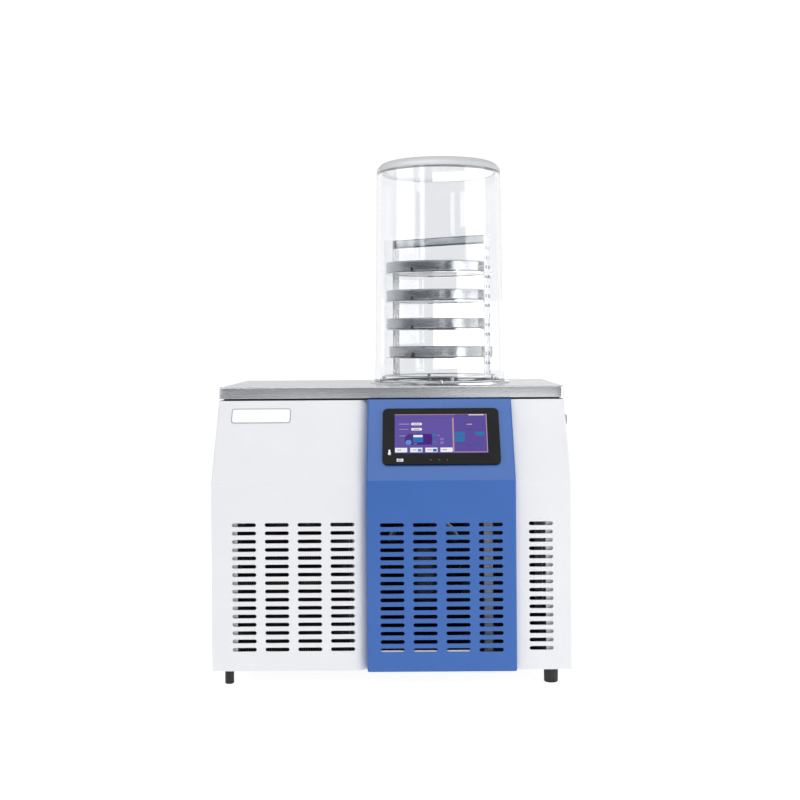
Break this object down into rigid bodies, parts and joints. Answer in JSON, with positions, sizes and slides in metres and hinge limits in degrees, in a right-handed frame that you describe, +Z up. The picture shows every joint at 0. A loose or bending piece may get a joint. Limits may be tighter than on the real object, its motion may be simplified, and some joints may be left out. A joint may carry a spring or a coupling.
{
  "type": "tabletop freeze dryer",
  "caption": "Bench freeze dryer: slotted steel cabinet with a sloping touch screen, a cold trap under the worktop and a clear bell jar over a rack of round trays.",
  "frame": {"origin": "middle of the bounding box on the bench, under the feet", "axes": "+X to the right seen from the front, +Y to the back, +Z up"},
  "size_m": [0.6206, 0.49, 0.908],
  "materials": {
    "painted_white": "satin powder coat",
    "painted_blue": "satin powder coat",
    "pan_steel": "galvanised",
    "frame_steel": "plain zinc plated",
    "black_board": "matt",
    "worktop_steel": "brushed",
    "foot_rubber": "moulded",
    "screw_steel": "bright",
    "trap_steel": "polished",
    "copper": "drawn copper tube",
    "foam": "foamed",
    "ring_steel": "turned",
    "seal_rubber": "translucent silicone",
    "clear_acrylic": "clear cast acrylic",
    "rack_steel": "electropolished",
    "tray_steel": "pressed",
    "bezel_black": "smooth",
    "display_glass": "lit display",
    "housing_plastic": "moulded",
    "compressor_black": "black enamel",
    "fin_aluminium": "pressed fins",
    "fan_steel": "black",
    "motor_black": "black",
    "blade_plastic": "moulded",
    "control_steel": "galvanised",
    "valve_chrome": "bright",
    "lever_blue": "dipped",
    "socket_black": "moulded",
    "rocker_red": "moulded"
  },
  "bodies": {
    "cabinet": {"base_pan": "pan_steel", "frame": "frame_steel", "left_cover": "painted_white", "right_cover": "painted_white", "centre_panel": "painted_blue", "rear_panel": "painted_white", "backing_board": "black_board", "worktop": "worktop_steel", "left_feet": "foot_rubber", "right_feet": "foot_rubber", "cover_screws": "screw_steel", "trap_well": "trap_steel", "cooling_coil": "copper", "foam_jacket": "foam", "seat_ring": "ring_steel", "seal_ring": "seal_rubber", "locating_studs": "screw_steel", "bell_jar": "clear_acrylic", "rack_base": "rack_steel", "left_upright": "rack_steel", "right_upright": "rack_steel", "hand_bar": "rack_steel", "shelf_1": "rack_steel", "shelf_2": "rack_steel", "shelf_3": "rack_steel", "shelf_4": "rack_steel", "tray_1": "tray_steel", "tray_2": "tray_steel", "tray_3": "tray_steel", "tray_4": "tray_steel", "screen_bezel": "bezel_black", "screen_glass": "display_glass", "screen_housing": "housing_plastic", "compressor": "compressor_black", "compressor_grommets": "foot_rubber", "compressor_box": "housing_plastic", "condenser_fins": "fin_aluminium", "condenser_tube": "copper", "condenser_ends": "pan_steel", "fan_shroud": "fan_steel", "fan_motor": "motor_black", "filter_drier": "copper", "suction_line": "copper", "discharge_line": "copper", "liquid_line": "copper", "control_box": "control_steel", "vacuum_line": "trap_steel", "vacuum_port": "trap_steel", "drain_line": "trap_steel", "drain_valve": "valve_chrome", "vent_valve": "valve_chrome", "vent_tube": "trap_steel", "mains_inlet": "socket_black", "pump_socket": "socket_black", "switch_frame": "socket_black"},
    "fan": {"fan_rotor": "blade_plastic"},
    "rocker": {"switch_rocker": "rocker_red"},
    "vent_knob": {"vent_knob": "valve_chrome"},
    "drain_lever": {"drain_lever": "lever_blue"}
  },
  "joints": [
    {"name": "fan_spin", "type": "hinge", "parent": "cabinet", "child": "fan", "pos_m": [-0.1727, -0.1527, 0.151], "axis": [0, 1, 0], "continuous": true},
    {"name": "switch_tilt", "type": "hinge", "parent": "cabinet", "child": "rocker", "pos_m": [-0.1287, 0.201, 0.092], "axis": [1, 0, 0], "range_deg": [-16, 0]},
    {"name": "vent_turn", "type": "hinge", "parent": "cabinet", "child": "vent_knob", "pos_m": [0.3038, -0.026, 0.429], "axis": [1, 0, 0], "range_deg": [0, 360]},
    {"name": "drain_turn", "type": "hinge", "parent": "cabinet", "child": "drain_lever", "pos_m": [0.0793, 0.218, 0.319], "axis": [0, 0, 1], "range_deg": [0, 90]}
  ]
}
